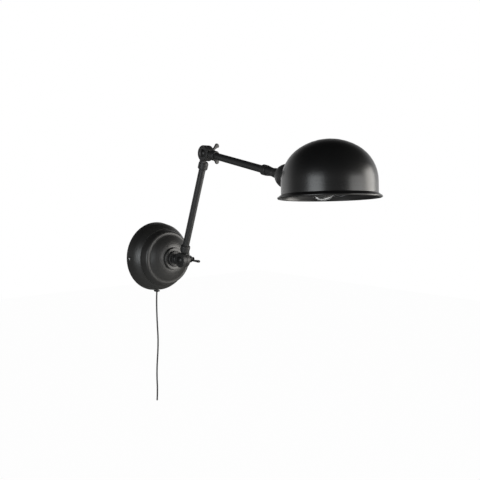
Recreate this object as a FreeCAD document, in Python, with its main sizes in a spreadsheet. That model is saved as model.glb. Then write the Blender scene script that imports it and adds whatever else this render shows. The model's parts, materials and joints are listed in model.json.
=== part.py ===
import FreeCAD, Part
import math
import operator
import os

import Sketcher
from FreeCAD import Placement, Rotation, Vector

# Corded wall lamp with two pivoting arms and a swivelling dome shade, in millimetres.
# The wall is the plane y = 0 and the lamp stands out towards -Y, with +Z up.
# The origin is the middle of the wall bracket's back face.

document = FreeCAD.newDocument("wall_lamp")

# ---------------------------------------------------------------- driving sizes

SIZES = [
    # canopy on the wall; depths run from the wall
    ("canopy_radius", 71.0, "rim on the wall"),
    ("canopy_sheet", 1.2, "sheet thickness"),
    ("side_taper", 2.6, "side wall, in from the rim to the crease"),
    ("crease_depth", 17.0, "side wall, out to the crease"),
    ("shoulder_width", 9.2, "rounded shoulder, in from the crease"),
    ("shoulder_rise", 14.5, "rounded shoulder, out from the crease"),
    ("shoulder_curve", 50.0, "radius of the rounded shoulder"),
    ("groove_width", 1.8, "width of the groove"),
    ("groove_sink", 1.0, "how far the groove dips"),
    ("step_width", 8.8, "second step, in from the groove"),
    ("step_rise", 11.7, "second step, out from the groove"),
    ("step_round", 9.0, "rounding of the second step"),
    ("valley_width", 4.1, "valley, in from the second step's top"),
    ("valley_rise", 2.6, "valley, out from the second step's top"),
    ("dome_curve", 50.0, "radius of the middle dome"),
    ("dome_rise", 15.2, "middle dome, out from the valley"),
    ("dome_top_radius", 24.5, "flat seat of the boss"),
    # wall bracket
    ("bracket_width", 18.0, "height of the strap on the wall"),
    ("bracket_sheet", 2.0, "strap thickness"),
    ("bracket_tab", 16.0, "depth of the side tabs"),
    ("bracket_gap", 0.6, "free space between tab and side wall"),
    ("slot_spacing", 60.0, "between the two slots"),
    ("slot_length", 14.0, "end to end"),
    ("slot_radius", 2.4, "half the slot's width"),
    ("block_width", 26.0, "terminal block along X"),
    ("block_height", 14.0, "terminal block along Z"),
    ("block_depth", 13.0, "terminal block off the strap"),
    ("block_bore", 1.8, "terminal well radius"),
    ("block_pitch", 8.0, "between the wells"),
    ("side_screw_radius", 2.0, "canopy screw thread"),
    ("side_screw_depth", 9.0, "canopy screw from the wall"),
    ("side_head_radius", 4.0, "canopy screw head"),
    ("side_head_height", 2.6, "canopy screw head"),
    ("side_screw_length", 9.0, "canopy screw under its head"),
    # cord outlet
    ("gland_depth", 8.0, "cord axis from the wall"),
    ("gland_turn", 3.5, "gland beside the canopy's lowest point, degrees"),
    ("gland_flange_radius", 6.2, "gland flange"),
    ("gland_flange_height", 2.4, "gland flange"),
    ("gland_nose_radius", 2.7, "gland nose at its tip"),
    ("gland_nose_height", 1.4, "gland nose under the flange"),
    ("gland_thread_radius", 3.8, "gland thread through the sheet"),
    ("gland_thread_length", 8.0, "gland thread above the flange"),
    ("gland_nut_radius", 6.4, "gland nut over its corners"),
    ("gland_nut_height", 2.6, "gland nut"),
    ("gland_bore_depth", 6.0, "cord seat above the nose"),
    ("cord_radius", 1.6, "cord"),
    ("cord_straight", 11.5, "cord straight out of the gland"),
    # centre fixing
    ("nipple_radius", 5.0, "threaded hollow nipple"),
    ("nipple_bore", 3.4, "its bore radius"),
    ("nipple_tail", 9.0, "nipple behind the sheet"),
    ("nut_radius", 9.2, "lock nut over its corners"),
    ("nut_height", 4.0, "lock nut"),
    ("spring_washer_radius", 9.0, "washer under the lock nut"),
    ("spring_washer_height", 1.2, "washer under the lock nut"),
    ("boss_radius", 22.5, "boss disc"),
    ("boss_height", 6.0, "boss disc"),
    ("boss_round", 1.8, "boss edge"),
    ("stem_foot_radius", 16.0, "stem flange on the boss"),
    ("stem_foot_height", 4.0, "stem flange on the boss"),
    ("stem_neck_radius", 9.6, "stem neck"),
    ("stem_floor", 3.1, "solid stem between nipple and knuckle"),
    ("stem_reach", 27.0, "lower pivot from the boss"),
    ("stem_round", 1.2, "stem edges"),
    # half lap knuckles and their bolts
    ("eye_radius", 14.8, "knuckle eye"),
    ("eye_thickness", 8.5, "one half of a knuckle"),
    ("eye_round", 1.5, "edge of the eye"),
    ("eye_gap", 1.1, "free space round an eye's edge"),
    ("neck_width", 11.6, "web between eye and collar"),
    ("collar_gap", 4.7, "collar from the eye's edge"),
    ("collar_length", 12.0, "casting collar"),
    ("collar_wall", 2.85, "casting collar round the tube"),
    ("collar_lip", 0.25, "flat of the collar's mouth"),
    ("socket_floor", 2.0, "collar's solid end"),
    ("socket_clearance", 0.05, "round the tube in its socket"),
    ("set_screw_radius", 1.5, "collar set screw"),
    ("set_screw_length", 2.6, "collar set screw"),
    ("bolt_radius", 4.0, "pivot bolt"),
    ("bolt_head_radius", 7.5, "domed bolt head"),
    ("bolt_head_height", 3.6, "domed bolt head"),
    ("bolt_overhang", 5.6, "bolt beyond the wing nut's hub"),
    ("lower_wings_dip", 14.0, "lower wing nut's front wing below the horizontal, degrees"),
    ("running_clearance", 0.1, "round a turning pin, in radius"),
    ("washer_radius", 9.0, "pivot washer"),
    ("washer_height", 2.4, "pivot washer"),
    ("hub_radius", 8.0, "wing nut hub on the washer"),
    ("hub_top_radius", 6.4, "wing nut hub at its end"),
    ("hub_height", 10.5, "wing nut hub"),
    ("wing_span", 40.0, "over both wings"),
    ("wing_height", 21.0, "wing nut from its seat"),
    ("wing_tip", 4.8, "half the width of a wing's tip"),
    ("wing_thickness", 3.2, "wing"),
    # arms
    ("tube_radius", 6.5, "arm tube"),
    ("tube_wall", 1.2, "arm tube"),
    ("lower_length", 220.0, "pivot to pivot"),
    ("lower_lean", 20.0, "lower arm from the vertical, degrees"),
    ("upper_droop", 12.0, "upper arm below the horizontal, degrees"),
    ("end_collar_start", 160.0, "ring at the upper arm's end"),
    ("end_collar_length", 11.0, "that ring"),
    ("end_collar_wall", 2.5, "that ring round the tube"),
    ("end_socket_depth", 6.0, "tube inside that ring"),
    # swivel head; distances run along the arm from the elbow
    ("head_swivel", -2.5, "shade turned about the arm, degrees"),
    ("spigot_gap", 0.4, "between swivel pin and tube"),
    ("spigot_length", 13.0, "swivel pin"),
    ("seam_radius", 7.2, "neck in the seam"),
    ("seam_width", 1.8, "seam"),
    ("stub_rear_radius", 8.5, "swivel stub behind its waist"),
    ("stub_waist_radius", 7.3, "waist"),
    ("stub_waist_start", 10.0, "waist from the seam's start"),
    ("stub_front_start", 19.0, "front end of the waist"),
    ("stub_front_radius", 8.2, "swivel stub in front"),
    ("stub_length", 27.0, "seam to cup"),
    ("stub_nose_radius", 5.0, "threaded nose inside the cup"),
    ("stub_nose_length", 27.0, "threaded nose"),
    ("stub_bore", 3.2, "wire way"),
    ("cup_radius", 20.5, "socket cup"),
    ("cup_sheet", 1.2, "socket cup wall"),
    ("cup_bell_length", 21.5, "bell part of the cup"),
    ("cup_bell_curve", 26.0, "radius of the bell"),
    ("cup_straight", 21.2, "cup's straight wall, down its lower side to the shade"),
    ("holder_gap", 0.7, "between lamp holder and cup"),
    ("holder_cap_length", 6.0, "tapered back of the holder"),
    ("holder_back_radius", 12.5, "its smaller end"),
    ("holder_step", 1.2, "holder's step where it goes through the shade"),
    ("holder_length", 48.0, "holder over all"),
    ("holder_bore", 13.7, "thread bore for the bulb"),
    ("seat_clearance", 0.1, "between pieces that sit on one another"),
    ("ring_width", 4.0, "shade ring round the holder"),
    ("ring_height", 5.0, "shade ring"),
    # shade; heights run along its own axis from the dome's centre
    ("shade_tilt", 16.0, "arm axis above the rim plane, degrees"),
    ("shade_radius", 74.0, "skirt"),
    ("shade_top", 75.0, "crown above the dome's centre"),
    ("shade_sheet", 1.1, "shade wall"),
    ("cap_curve", 84.0, "radius of the crown"),
    ("side_curve", 62.0, "radius of the dome's side"),
    ("skirt_drop", 9.0, "crease below the dome's centre"),
    ("bead_flare", 4.2, "rolled rim, middle of the roll out from the skirt"),
    ("bead_fall", 5.1, "rolled rim, middle of the roll below the crease"),
    ("bead_round", 1.75, "radius of the roll"),
    # bulb
    ("bulb_radius", 22.5, "glass ball"),
    ("bulb_length", 78.0, "bulb over all"),
    ("thread_gap", 0.6, "between screw base and holder"),
    ("bulb_base_length", 24.0, "screw base"),
    ("bulb_contact_radius", 4.6, "centre contact"),
    ("bulb_contact_height", 1.6, "centre contact"),
    ("neck_step", 0.9, "glass neck inside the base"),
    ("bulb_flare", 40.0, "where the neck runs into the ball, degrees below its middle"),
    ("bulb_glass", 0.9, "glass thickness"),
    ("bulb_mount_radius", 4.0, "glass mount inside"),
    ("bulb_mount_length", 26.0, "glass mount inside"),
]

sheet = document.addObject("Spreadsheet::Sheet", "sizes")
for row, (alias, number, note) in enumerate(SIZES, start=1):
    sheet.set("A%d" % row, alias)
    sheet.set("B%d" % row, str(number))
    sheet.set("C%d" % row, note)
    sheet.setAlias("B%d" % row, alias)
document.recompute()


class Size:
    # A size of the sheet, or one worked out from such sizes: the text of its expression,
    # which sketches and features are bound to, and its value.
    def __init__(self, text, value):
        self.text = text
        self.value = value

    def __add__(self, other):
        return joined(self, "+", other)

    def __radd__(self, other):
        return joined(other, "+", self)

    def __sub__(self, other):
        return joined(self, "-", other)

    def __rsub__(self, other):
        return joined(other, "-", self)

    def __mul__(self, other):
        return joined(self, "*", other)

    def __rmul__(self, other):
        return joined(other, "*", self)

    def __truediv__(self, other):
        return joined(self, "/", other)

    def __neg__(self):
        return joined(0, "-", self)


SIGNS = {"+": operator.add, "-": operator.sub, "*": operator.mul, "/": operator.truediv}


def sized(number):
    return number if isinstance(number, Size) else Size(repr(float(number)), float(number))


def joined(first, sign, second):
    first = sized(first)
    second = sized(second)
    text = "(%s %s %s)" % (first.text, sign, second.text)
    return Size(text, SIGNS[sign](first.value, second.value))


def root(square):
    return Size("sqrt(%s)" % square.text, math.sqrt(square.value))


def sine(angle):
    return Size("sin(%s)" % angle.text, math.sin(math.radians(angle.value)))


def cosine(angle):
    return Size("cos(%s)" % angle.text, math.cos(math.radians(angle.value)))


def dome_curve(half, height):
    # Radius of the round top that rises by the height over a base of this half width.
    return (half * half + height * height) / (height * 2)


class Lamp:
    # The sheet's sizes by their names.
    def __init__(self):
        for alias, number, note in SIZES:
            setattr(self, alias, Size("sizes." + alias, float(sheet.get(alias))))


lamp = Lamp()

# ---------------------------------------------------------------- sizes worked out from them

# canopy, from its rim inwards
side_slope = lamp.side_taper / lamp.crease_depth
crease_radius = lamp.canopy_radius - lamp.side_taper
lip_radius = crease_radius - lamp.shoulder_width
lip_depth = lamp.crease_depth + lamp.shoulder_rise
step_radius = lip_radius - lamp.groove_width
shelf_radius = step_radius - lamp.step_width
shelf_depth = lip_depth + lamp.step_rise
valley_radius = shelf_radius - lamp.valley_width
valley_depth = shelf_depth + lamp.valley_rise
dome_depth = valley_depth + lamp.dome_rise

# centre fixing and knuckles
boss_top = dome_depth + lamp.boss_height
pivot_depth = boss_top + lamp.stem_reach
eye_swing = lamp.eye_radius + lamp.eye_gap
nipple_end = pivot_depth - eye_swing - lamp.stem_floor
nipple_hole = lamp.nipple_radius + lamp.seat_clearance
pin_hole = lamp.bolt_radius + lamp.running_clearance
bolt_end = lamp.eye_thickness + lamp.washer_height + lamp.hub_height + lamp.bolt_overhang
tube_hole = lamp.tube_radius + lamp.socket_clearance
collar_radius = tube_hole + lamp.collar_wall
collar_round = lamp.collar_wall - lamp.collar_lip
collar_start = lamp.eye_radius + lamp.collar_gap
collar_end = collar_start + lamp.collar_length
tube_seat = collar_start + lamp.socket_floor

# swivel and cup; distances run along the arm from the elbow
tube_front = lamp.end_collar_start + lamp.end_socket_depth
swivel_face = lamp.end_collar_start + lamp.end_collar_length
end_collar_radius = tube_hole + lamp.end_collar_wall
spigot_radius = lamp.tube_radius - lamp.tube_wall - lamp.spigot_gap
spigot_hole = spigot_radius + lamp.running_clearance
cup_back = swivel_face + lamp.stub_length
nose_end = cup_back + lamp.stub_nose_length
nose_hole = lamp.stub_nose_radius + lamp.socket_clearance
bell_end = cup_back + lamp.cup_bell_length
holder_radius = lamp.cup_radius - lamp.cup_sheet - lamp.holder_gap
holder_skirt_radius = holder_radius - lamp.holder_step
ring_radius = holder_skirt_radius + lamp.ring_width

# The dome's side is an arc about a centre that lies off the shade's axis. Seen along the
# arm, whose axis passes the dome's centre at the shade's tilt, that arc's centre lies so far
# along the arm and so far above it. The cup's lower side ends on that arc.
cap_centre = lamp.shade_top - lamp.cap_curve
side_centre_out = lamp.shade_radius - lamp.side_curve
curve_step = lamp.cap_curve - lamp.side_curve
side_centre_rise = root(curve_step * curve_step - side_centre_out * side_centre_out)
side_centre_up = cap_centre + side_centre_rise
side_along = side_centre_out * cosine(lamp.shade_tilt) + side_centre_up * sine(lamp.shade_tilt)
side_above = side_centre_up * cosine(lamp.shade_tilt) - side_centre_out * sine(lamp.shade_tilt)
cup_below = lamp.cup_radius + side_above
cup_chord = root(lamp.side_curve * lamp.side_curve - cup_below * cup_below)
dome_distance = bell_end + lamp.cup_straight + cup_chord + side_along
bead_radius = lamp.shade_radius + lamp.bead_flare
bead_drop = lamp.skirt_drop + lamp.bead_fall

# ---------------------------------------------------------------- places

ORIGIN = Vector(0, 0, 0)
ALONG_X = Vector(1, 0, 0)
ALONG_Y = Vector(0, 1, 0)
ALONG_Z = Vector(0, 0, 1)


def placed(point, axis, angle):
    return Placement(point, Rotation(axis, angle))


def lifted(place, height):
    # The same place, moved along its own Z.
    return place.multiply(Placement(ALONG_Z * height.value, Rotation()))


lower_pivot = Vector(0, -pivot_depth.value, 0)
lower_way = placed(lower_pivot, ALONG_X, lamp.lower_lean.value)
elbow = lower_way.multVec(ALONG_Z * lamp.lower_length.value)

on_wall = placed(ORIGIN, ALONG_X, 90)
stem_place = placed(lower_pivot, ALONG_X, -90)
lower_foot_place = lower_way
lower_head_place = placed(elbow, ALONG_X, 180 + lamp.lower_lean.value)
upper_place = placed(elbow, ALONG_X, 90 + lamp.upper_droop.value)
head_place = upper_place.multiply(placed(ORIGIN, ALONG_Z, lamp.head_swivel.value))
dome_place = lifted(head_place, dome_distance)
shade_place = dome_place.multiply(placed(ORIGIN, ALONG_X, -90 - lamp.shade_tilt.value))
lower_bolt_place = placed(lower_pivot, ALONG_Y, 90)
elbow_bolt_place = placed(elbow, ALONG_Y, 90)

# ---------------------------------------------------------------- modelling steps


def new_body(label, place):
    body = document.addObject("PartDesign::Body", label)
    body.Label = label
    body.Placement = place
    return body


def new_sketch(body, plane, shift=None, axis=ALONG_X, turn=0):
    # A sketch on one of the body's own origin planes. The shift moves it along the plane's
    # normal, and the turn, in degrees, is about one of the sketch's own axes.
    sketch = body.newObject("Sketcher::SketchObject", body.Label + "_sketch")
    support = [item for item in body.Origin.OriginFeatures if item.Role == plane][0]
    sketch.AttachmentSupport = [(support, "")]
    sketch.MapMode = "FlatFace"
    rise = sized(0) if shift is None else shift
    sketch.AttachmentOffset = Placement(ALONG_Z * rise.value, Rotation(axis, sized(turn).value))
    if shift is not None:
        sketch.setExpression("AttachmentOffset.Base.z", shift.text)
    if isinstance(turn, Size):
        sketch.setExpression("AttachmentOffset.Rotation.Angle", turn.text)
    return sketch


def bind(sketch, constraint, size):
    index = sketch.addConstraint(constraint)
    if isinstance(size, Size):
        sketch.setExpression("Constraints[%d]" % index, size.text)


def pin(sketch, edge, end, across, up):
    bind(sketch, Sketcher.Constraint("DistanceX", -1, 1, edge, end, sized(across).value), across)
    bind(sketch, Sketcher.Constraint("DistanceY", -1, 1, edge, end, sized(up).value), up)


def draw_outline(sketch, corners):
    # A closed outline, counter-clockwise. A corner is (across, up), or (across, up, radius)
    # where an arc leads to it: outwards for a positive radius, inwards for a negative one.
    points = [Vector(sized(corner[0]).value, sized(corner[1]).value, 0) for corner in corners]
    ends = []
    for index, point in enumerate(points):
        arrival = corners[(index + 1) % len(corners)]
        target = points[(index + 1) % len(points)]
        if len(arrival) == 2:
            sketch.addGeometry(Part.LineSegment(point, target))
            ends.append((1, 2))
            continue
        chord = target - point
        curve = abs(sized(arrival[2]).value)
        rise = curve - math.sqrt(curve ** 2 - (chord.Length / 2) ** 2)
        outwards = Vector(chord.y, -chord.x, 0).normalize()
        if sized(arrival[2]).value > 0:
            sketch.addGeometry(Part.Arc(point, point + chord * 0.5 + outwards * rise, target))
            ends.append((1, 2))
        else:
            sketch.addGeometry(Part.Arc(target, point + chord * 0.5 - outwards * rise, point))
            ends.append((2, 1))
    for index, corner in enumerate(corners):
        after = (index + 1) % len(corners)
        joint = Sketcher.Constraint("Coincident", index, ends[index][1], after, ends[after][0])
        sketch.addConstraint(joint)
        pin(sketch, index, ends[index][0], corner[0], corner[1])
        if len(corners[after]) == 3:
            curve = sized(corners[after][2])
            curve = curve if curve.value > 0 else -curve
            bind(sketch, Sketcher.Constraint("Radius", index, curve.value), curve)


def draw_circle(sketch, across, up, radius):
    middle = Vector(sized(across).value, sized(up).value, 0)
    edge = sketch.addGeometry(Part.Circle(middle, ALONG_Z, radius.value))
    pin(sketch, edge, 3, across, up)
    bind(sketch, Sketcher.Constraint("Radius", edge, radius.value), radius)


def revolve(body, corners, plane="XZ_Plane", axis="V_Axis"):
    sketch = new_sketch(body, plane)
    draw_outline(sketch, corners)
    feature = body.newObject("PartDesign::Revolution", body.Label + "_turned")
    feature.Profile = sketch
    feature.ReferenceAxis = (sketch, [axis])
    feature.Angle = 360
    sketch.Visibility = False
    return feature


def pad(body, sketch, length, midplane=False):
    feature = body.newObject("PartDesign::Pad", body.Label + "_pad")
    feature.Profile = sketch
    feature.SideType = "Symmetric" if midplane else "One side"
    feature.Length = length.value
    feature.setExpression("Length", length.text)
    return feature


def drill(body, sketch, length, both=False):
    # A pocket against the sketch's normal, or to both sides of it.
    feature = body.newObject("PartDesign::Pocket", body.Label + "_bore")
    feature.Profile = sketch
    feature.SideType = "Symmetric" if both else "One side"
    feature.Length = length.value
    feature.setExpression("Length", length.text)
    return feature


def turned(label, place, corners):
    # A piece turned about its own Z; the corners are (radius, height).
    body = new_body(label, place)
    revolve(body, corners)
    return body


def ring_outline(inner, outer, low, high):
    return [(inner, low), (outer, low), (outer, high), (inner, high)]


def rounding(edge):
    # The radius of an edge's arc, a little flatter than a quarter circle.
    return edge * 1.02


def hexagon(across, up, radius):
    turns = [(sized(60.0 * step), step) for step in range(6)]
    return [(across + radius * cosine(turn), up + radius * sine(turn)) for turn, step in turns]


def hex_nut(label, place, corner_radius, bore_radius, low, height):
    body = new_body(label, place)
    sketch = new_sketch(body, "XY_Plane", shift=low)
    draw_outline(sketch, hexagon(sized(0), sized(0), corner_radius))
    draw_circle(sketch, 0, 0, bore_radius)
    pad(body, sketch, height)
    return body


# ---------------------------------------------------------------- wall bracket


def side_radius(depth):
    # Outer radius of the canopy's tapered side wall at a depth.
    return lamp.canopy_radius - side_slope * depth


tab_half = lamp.bracket_width / 2
tab_inside = side_radius(lamp.bracket_tab) - lamp.canopy_sheet * 1.1
tab_reach = root(tab_inside * tab_inside - tab_half * tab_half) - lamp.bracket_gap


def wall_bracket():
    sheet_inside = tab_reach - lamp.bracket_sheet
    body = new_body("wall_bracket", on_wall)
    strap = new_sketch(body, "XZ_Plane")
    draw_outline(strap, [
        (-tab_reach, 0),
        (tab_reach, 0),
        (tab_reach, lamp.bracket_tab),
        (sheet_inside, lamp.bracket_tab),
        (sheet_inside, lamp.bracket_sheet),
        (-sheet_inside, lamp.bracket_sheet),
        (-sheet_inside, lamp.bracket_tab),
        (-tab_reach, lamp.bracket_tab),
    ])
    pad(body, strap, lamp.bracket_width, midplane=True)
    slots = new_sketch(body, "XY_Plane")
    half = lamp.slot_length / 2 - lamp.slot_radius
    for index, middle in enumerate([-lamp.slot_spacing / 2, lamp.slot_spacing / 2]):
        draw_slot(slots, middle, half, lamp.slot_radius, index * 4)
    drill(body, slots, lamp.bracket_sheet * 4, both=True)
    screw_holes = new_sketch(body, "YZ_Plane")
    draw_circle(screw_holes, 0, lamp.side_screw_depth, lamp.side_screw_radius + lamp.socket_clearance)
    drill(body, screw_holes, tab_reach * 3, both=True)
    return body


def draw_slot(sketch, middle, half, radius, first):
    # A slot along the sketch's X: two lines and two half circles.
    left = (middle - half).value
    right = (middle + half).value
    high = radius.value
    low_left = Vector(left, -high, 0)
    low_right = Vector(right, -high, 0)
    high_left = Vector(left, high, 0)
    high_right = Vector(right, high, 0)
    sketch.addGeometry(Part.LineSegment(low_left, low_right))
    sketch.addGeometry(Part.Arc(low_right, Vector(right + high, 0, 0), high_right))
    sketch.addGeometry(Part.LineSegment(high_right, high_left))
    sketch.addGeometry(Part.Arc(high_left, Vector(left - high, 0, 0), low_left))
    for step in range(4):
        edge = first + step
        after = first + (step + 1) % 4
        sketch.addConstraint(Sketcher.Constraint("Tangent", edge, 2, after, 1))
    sketch.addConstraint(Sketcher.Constraint("Horizontal", first))
    sketch.addConstraint(Sketcher.Constraint("PointOnObject", first + 1, 3, -1))
    bind(sketch, Sketcher.Constraint("Radius", first + 1, radius.value), radius)
    bind(sketch, Sketcher.Constraint("DistanceX", -1, 1, first + 1, 3, right), middle + half)
    bind(sketch, Sketcher.Constraint("DistanceX", -1, 1, first + 3, 3, left), middle - half)


def terminal_block():
    block_top = lamp.bracket_sheet + lamp.block_depth
    half_width = lamp.block_width / 2
    half_height = lamp.block_height / 2
    body = new_body("terminal_block", on_wall)
    foot = new_sketch(body, "XY_Plane", shift=lamp.bracket_sheet)
    draw_outline(foot, [
        (-half_width, -half_height),
        (half_width, -half_height),
        (half_width, half_height),
        (-half_width, half_height),
    ])
    pad(body, foot, lamp.block_depth)
    wells = new_sketch(body, "XY_Plane", shift=block_top)
    for step in (-1, 0, 1):
        draw_circle(wells, lamp.block_pitch * step, 0, lamp.block_bore)
    drill(body, wells, lamp.block_depth / 2)
    return body


# ---------------------------------------------------------------- canopy

# The canopy's outer corners from its rim inwards: radius, depth, the shares of the sheet's
# thickness by which its inner corner lies further in and further back, and the radius of the
# arc that leads to it.
canopy_corners = [
    (lamp.canopy_radius, sized(0), 1.0, 0.0),
    (crease_radius, lamp.crease_depth, 1.0, 0.3),
    (lip_radius, lip_depth, 0.8, 0.9, lamp.shoulder_curve),
    (lip_radius - lamp.groove_width / 2, lip_depth - lamp.groove_sink, 0.3, 1.0),
    (step_radius, lip_depth, 0.9, 0.4),
    (shelf_radius, shelf_depth, 0.7, 0.9, lamp.step_round),
    (valley_radius, valley_depth, 0.4, 1.0),
    (lamp.dome_top_radius, dome_depth, 0.0, 1.0, lamp.dome_curve),
]


def canopy_outline(inset):
    corners = []
    for radius, depth, share_in, share_back, *curve in canopy_corners:
        corners.append((radius - inset * share_in, depth - inset * share_back, *curve))
    return corners


def canopy():
    outside = canopy_outline(sized(0))
    inside = canopy_outline(lamp.canopy_sheet)
    corners = list(outside)
    corners.append((nipple_hole, dome_depth))
    corners.append((nipple_hole, dome_depth - lamp.canopy_sheet))
    for index in range(len(inside) - 1, -1, -1):
        point = inside[index][:2]
        came = inside[index + 1] if index + 1 < len(inside) else ()
        corners.append(point + (-came[2],) if len(came) == 3 else point)
    body = new_body("canopy", on_wall)
    revolve(body, corners)
    side_holes = new_sketch(body, "YZ_Plane")
    draw_circle(side_holes, 0, lamp.side_screw_depth, lamp.side_screw_radius + lamp.seat_clearance)
    drill(body, side_holes, lamp.canopy_radius * 3, both=True)
    outlet = new_sketch(body, "XZ_Plane", axis=ALONG_Y * -1, turn=lamp.gland_turn)
    draw_circle(outlet, 0, lamp.gland_depth, lamp.gland_thread_radius + lamp.seat_clearance)
    cut = drill(body, outlet, lamp.canopy_radius * 2)
    cut.Reversed = True
    return body


def canopy_screws():
    # A round headed screw on each side, through the canopy into the bracket's tab. The
    # tapered wall is widest under the head's edge next to the wall, so the head sits there.
    seat = side_radius(lamp.side_screw_depth - lamp.side_head_radius)
    screws = []
    for label, turn in (("canopy_screw_left", -90), ("canopy_screw_right", 90)):
        start = Vector(0, -lamp.side_screw_depth.value, 0)
        place = placed(start, ALONG_Y, turn)
        top = seat + lamp.side_head_height
        screws.append(turned(label, place, [
            (0, seat - lamp.side_screw_length),
            (lamp.side_screw_radius, seat - lamp.side_screw_length),
            (lamp.side_screw_radius, seat),
            (lamp.side_head_radius, seat),
            (0, top, dome_curve(lamp.side_head_radius, lamp.side_head_height)),
        ]))
    return screws


# ---------------------------------------------------------------- cord outlet

gland_seat = side_radius(lamp.gland_depth - lamp.gland_flange_radius)
gland_tip = gland_seat + lamp.gland_flange_height + lamp.gland_nose_height
cord_seat = gland_tip - lamp.gland_bore_depth
gland_axis = placed(Vector(0, -lamp.gland_depth.value, 0), ALONG_Y, lamp.gland_turn.value)
gland_place = gland_axis.multiply(placed(ORIGIN, ALONG_X, 180))


def cord_gland():
    flange_end = gland_seat + lamp.gland_flange_height
    thread_end = gland_seat - lamp.gland_thread_length
    cord_hole = lamp.cord_radius + lamp.seat_clearance
    return turned("cord_gland", gland_place, [
        (0, thread_end),
        (lamp.gland_thread_radius, thread_end),
        (lamp.gland_thread_radius, gland_seat),
        (lamp.gland_flange_radius, gland_seat),
        (lamp.gland_flange_radius, flange_end),
        (lamp.gland_nose_radius * 1.15, flange_end),
        (lamp.gland_nose_radius, gland_tip),
        (cord_hole, gland_tip),
        (cord_hole, cord_seat),
        (0, cord_seat),
    ])


def gland_nut():
    # The nut's face meets the inside of the round side wall with its outer corners.
    deep = lamp.gland_depth + lamp.gland_nut_radius
    wall_inside = side_radius(deep) - lamp.canopy_sheet * 1.1
    corner = lamp.gland_nut_radius * lamp.gland_nut_radius
    face = root(wall_inside * wall_inside - corner) - lamp.seat_clearance
    bore = lamp.gland_thread_radius + lamp.socket_clearance
    low = face - lamp.gland_nut_height
    return hex_nut("gland_nut", gland_place, lamp.gland_nut_radius, bore, low, lamp.gland_nut_height)


# The cord hangs from its seat in the gland to its free end, close to the wall. Its points
# are measured from where it leaves the gland: to the side, towards the wall, and up.
cord_exit = gland_place.multVec(ALONG_Z * gland_tip.value)
cord_points = [
    gland_place.multVec(ALONG_Z * cord_seat.value),
    gland_place.multVec(ALONG_Z * (gland_tip + lamp.cord_straight).value),
    cord_exit + Vector(-0.95, -0.4, -37.6),
    cord_exit + Vector(-0.35, -1.0, -65.6),
    cord_exit + Vector(1.25, -1.4, -97.6),
    cord_exit + Vector(0.75, -1.0, -123.6),
    cord_exit + Vector(-1.75, -0.6, -156.6),
    cord_exit + Vector(-2.45, -1.0, -182.6),
    cord_exit + Vector(-1.45, -1.3, -207.1),
    cord_exit + Vector(-2.85, -1.4, -230.1),
]


def cord_path(points):
    # Straight runs joined by tangent arcs: each arc's radius is 0.45 of the shorter run,
    # divided by the tangent of half the turn.
    edges = []
    radii = []
    start = points[0]
    for before, corner, after in zip(points, points[1:], points[2:]):
        way_in = (corner - before).normalize()
        way_out = (after - corner).normalize()
        half_turn = way_in.getAngle(way_out) / 2
        setback = 0.45 * min((corner - before).Length, (after - corner).Length)
        radii.append(setback / math.tan(half_turn))
        arc_start = corner - way_in * setback
        arc_end = corner + way_out * setback
        inward = (way_out - way_in).normalize()
        depth = radii[-1] / math.cos(half_turn) - radii[-1]
        edges.append(Part.LineSegment(start, arc_start).toShape())
        edges.append(Part.Arc(arc_start, corner + inward * depth, arc_end).toShape())
        start = arc_end
    edges.append(Part.LineSegment(start, points[-1]).toShape())
    return Part.Wire(edges), radii


def cord():
    path, radii = cord_path(cord_points)
    way = (cord_points[1] - cord_points[0]).normalize()
    section = Part.Wire(Part.Circle(cord_points[0], way, lamp.cord_radius.value).toShape())
    feature = document.addObject("Part::Feature", "cord")
    feature.Label = "cord"
    feature.Shape = path.makePipeShell([section], True, False)
    feature.Placement = Placement()
    expected = math.pi * lamp.cord_radius.value ** 2 * path.Length
    print("cord length %.1f mm" % path.Length)
    print("cord radii " + ", ".join("%.0f" % radius for radius in radii))
    print("cord volume over section times length %.5f" % (feature.Shape.Volume / expected))
    return feature


# ---------------------------------------------------------------- centre fixing

sheet_back = dome_depth - lamp.canopy_sheet


def canopy_boss():
    return turned("canopy_boss", on_wall, [
        (nipple_hole, dome_depth),
        (lamp.boss_radius, dome_depth),
        (lamp.boss_radius, boss_top - lamp.boss_round),
        (lamp.boss_radius - lamp.boss_round, boss_top, rounding(lamp.boss_round)),
        (nipple_hole, boss_top),
    ])


def nipple():
    section = ring_outline(
        lamp.nipple_bore, lamp.nipple_radius, sheet_back - lamp.nipple_tail, nipple_end)
    return turned("nipple", on_wall, section)


def lock_washer():
    low = sheet_back - lamp.spring_washer_height
    section = ring_outline(nipple_hole, lamp.spring_washer_radius, low, sheet_back)
    return turned("lock_washer", on_wall, section)


def lock_nut():
    low = sheet_back - lamp.spring_washer_height - lamp.nut_height
    bore = lamp.nipple_radius + lamp.socket_clearance
    return hex_nut("lock_nut", on_wall, lamp.nut_radius, bore, low, lamp.nut_height)


# ---------------------------------------------------------------- knuckles


def add_eye(body, side):
    # Half of a lapped knuckle: its flat face is in the lamp's middle plane, the rest lies
    # on the given side of it.
    flat = lamp.eye_thickness * side
    crown = (lamp.eye_thickness - lamp.eye_round) * side
    low_edge = lamp.eye_radius - lamp.eye_round
    if side > 0:
        corners = [
            (0, pin_hole),
            (flat, pin_hole),
            (flat, low_edge),
            (crown, lamp.eye_radius, rounding(lamp.eye_round)),
            (0, lamp.eye_radius),
        ]
    else:
        corners = [
            (0, pin_hole),
            (0, lamp.eye_radius),
            (crown, lamp.eye_radius),
            (flat, low_edge, rounding(lamp.eye_round)),
            (flat, pin_hole),
        ]
    revolve(body, corners, axis="H_Axis")


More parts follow.
